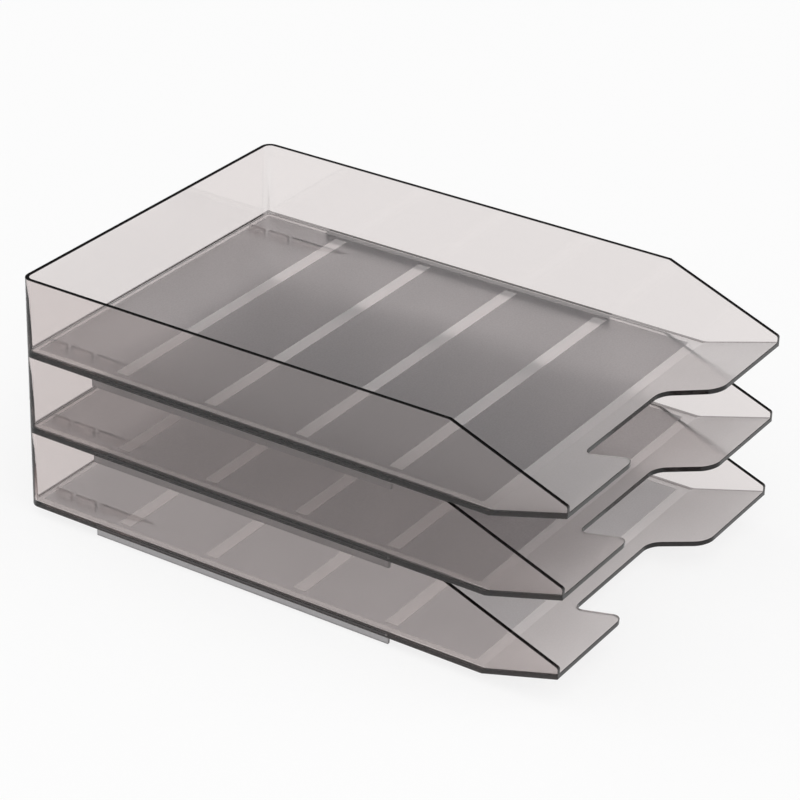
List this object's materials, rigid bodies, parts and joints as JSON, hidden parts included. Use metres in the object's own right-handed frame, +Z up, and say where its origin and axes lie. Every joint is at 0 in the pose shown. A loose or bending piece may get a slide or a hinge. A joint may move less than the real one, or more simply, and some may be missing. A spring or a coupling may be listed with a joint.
{
  "type": "tiered letter tray",
  "caption": "Stack of open-fronted letter trays in see-through smoke-grey plastic, with ramped lips, falling side walls and finger cut-outs.",
  "frame": {"origin": "middle of the lowest tray's outline, on the surface that its rails stand on", "axes": "+X across the trays to the right as seen from the front, +Y from the front lip to the back wall, +Z up"},
  "size_m": [0.255, 0.38, 0.1625],
  "materials": {
    "smoke_plastic": "gloss"
  },
  "bodies": {
    "tray_bottom": {"tray_bottom": "smoke_plastic"},
    "tray_middle": {"tray_middle": "smoke_plastic"},
    "tray_top": {"tray_top": "smoke_plastic"}
  },
  "joints": [
    {"name": "middle_tray_lift", "type": "slide", "parent": "tray_bottom", "child": "tray_middle", "axis": [0, 0, 1], "range_m": [0, 0.08]},
    {"name": "top_tray_lift", "type": "slide", "parent": "tray_middle", "child": "tray_top", "axis": [0, 0, 1], "range_m": [0, 0.08]}
  ]
}
